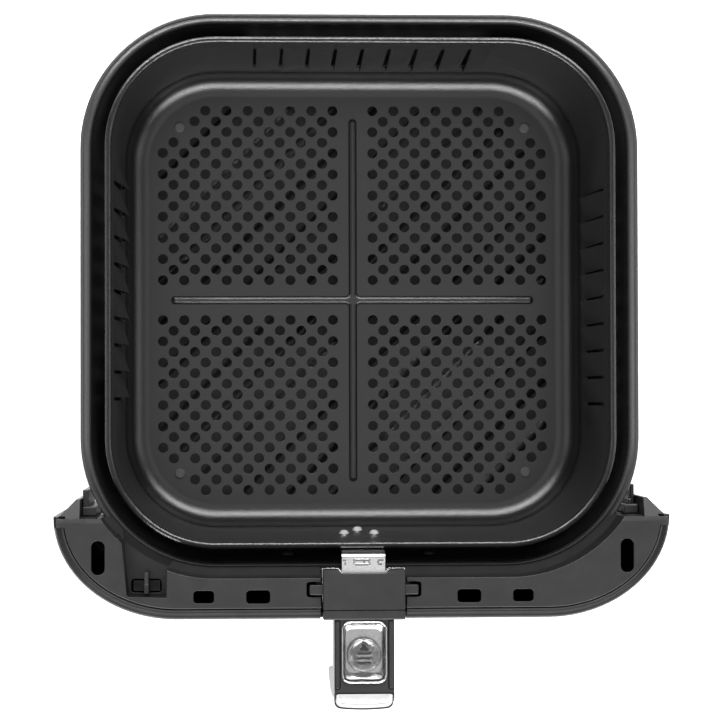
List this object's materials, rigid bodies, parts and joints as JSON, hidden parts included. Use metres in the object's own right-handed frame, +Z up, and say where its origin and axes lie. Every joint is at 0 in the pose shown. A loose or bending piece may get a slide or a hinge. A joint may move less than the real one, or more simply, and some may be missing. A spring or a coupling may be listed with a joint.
{
  "type": "air fryer drawer",
  "caption": "Square air fryer drawer: coated outer pan, lift-out perforated basket, curved front fascia and handle with a guarded release button.",
  "frame": {"origin": "centre of the pan's flat underside, the face that it rests on", "axes": "+Z up, +Y to the rear of the drawer, the handle points towards -Y, +X to the right seen from the handle's side"},
  "size_m": [0.3, 0.346, 0.137],
  "materials": {
    "nonstick_coating": "satin black non-stick coating with a fine grain",
    "pan_coating": "satin black non-stick coating",
    "black_plastic": "fine-grained black moulded plastic",
    "inner_plastic": "plain black moulded plastic",
    "bright_steel": "bright stamped steel",
    "silver_trim": "silver metallic coating",
    "clear_guard": "clear polished plastic",
    "silicone": "matt silicone"
  },
  "bodies": {
    "drawer": {"outer_pan": "pan_coating", "front_fascia": "black_plastic", "fascia_top_cover": "black_plastic", "fascia_carrier": "inner_plastic", "side_guide_left": "inner_plastic", "side_guide_right": "inner_plastic", "pan_bracket_left": "bright_steel", "pan_bracket_right": "bright_steel", "pan_rivet_left": "bright_steel", "pan_rivet_right": "bright_steel", "bracket_screw_left": "bright_steel", "bracket_screw_right": "bright_steel", "fascia_screw_1": "bright_steel", "fascia_screw_2": "bright_steel", "fascia_screw_3": "bright_steel", "fascia_screw_4": "bright_steel", "latch_keeper": "bright_steel", "keeper_screw_left": "bright_steel", "keeper_screw_right": "bright_steel", "switch_tab": "inner_plastic"},
    "basket_assembly": {"basket": "nonstick_coating", "basket_foot_1": "silicone", "basket_foot_2": "silicone", "basket_foot_3": "silicone", "basket_foot_4": "silicone", "handle_bracket": "bright_steel", "bracket_rivet_left": "bright_steel", "bracket_rivet_right": "bright_steel", "bracket_rivet_low": "bright_steel", "handle_body": "black_plastic", "head_cover": "black_plastic", "head_screw_left": "bright_steel", "head_screw_right": "bright_steel", "front_trim": "silver_trim", "window_bezel": "bright_steel", "button_tray": "silver_trim", "arm_bottom_cover": "inner_plastic", "latch_pin": "bright_steel", "latch_spring": "bright_steel"},
    "button": {"release_button": "silver_trim"},
    "guard": {"button_guard": "clear_guard"},
    "latch": {"latch_lever": "bright_steel"}
  },
  "joints": [
    {"name": "basket_lift", "type": "slide", "parent": "drawer", "child": "basket_assembly", "axis": [0, 0, 1], "range_m": [0, 0.15]},
    {"name": "button_press", "type": "slide", "parent": "basket_assembly", "child": "button", "axis": [0, 0, -1], "range_m": [0, 0.0025], "stiffness_N_per_m": 700, "springref_m": -0.0012},
    {"name": "latch_turn", "type": "hinge", "parent": "basket_assembly", "child": "latch", "pos_m": [0, -0.148, 0.1237], "axis": [1, 0, 0], "range_deg": [0, 5.2], "deforming": ["latch_spring"]},
    {"name": "guard_slide", "type": "slide", "parent": "basket_assembly", "child": "guard", "axis": [0, 1, 0], "range_m": [0, 0.014]}
  ],
  "couplings": [
    {"joint": "latch_turn", "follows": "button_press", "rad_per_m": 35.714}
  ]
}
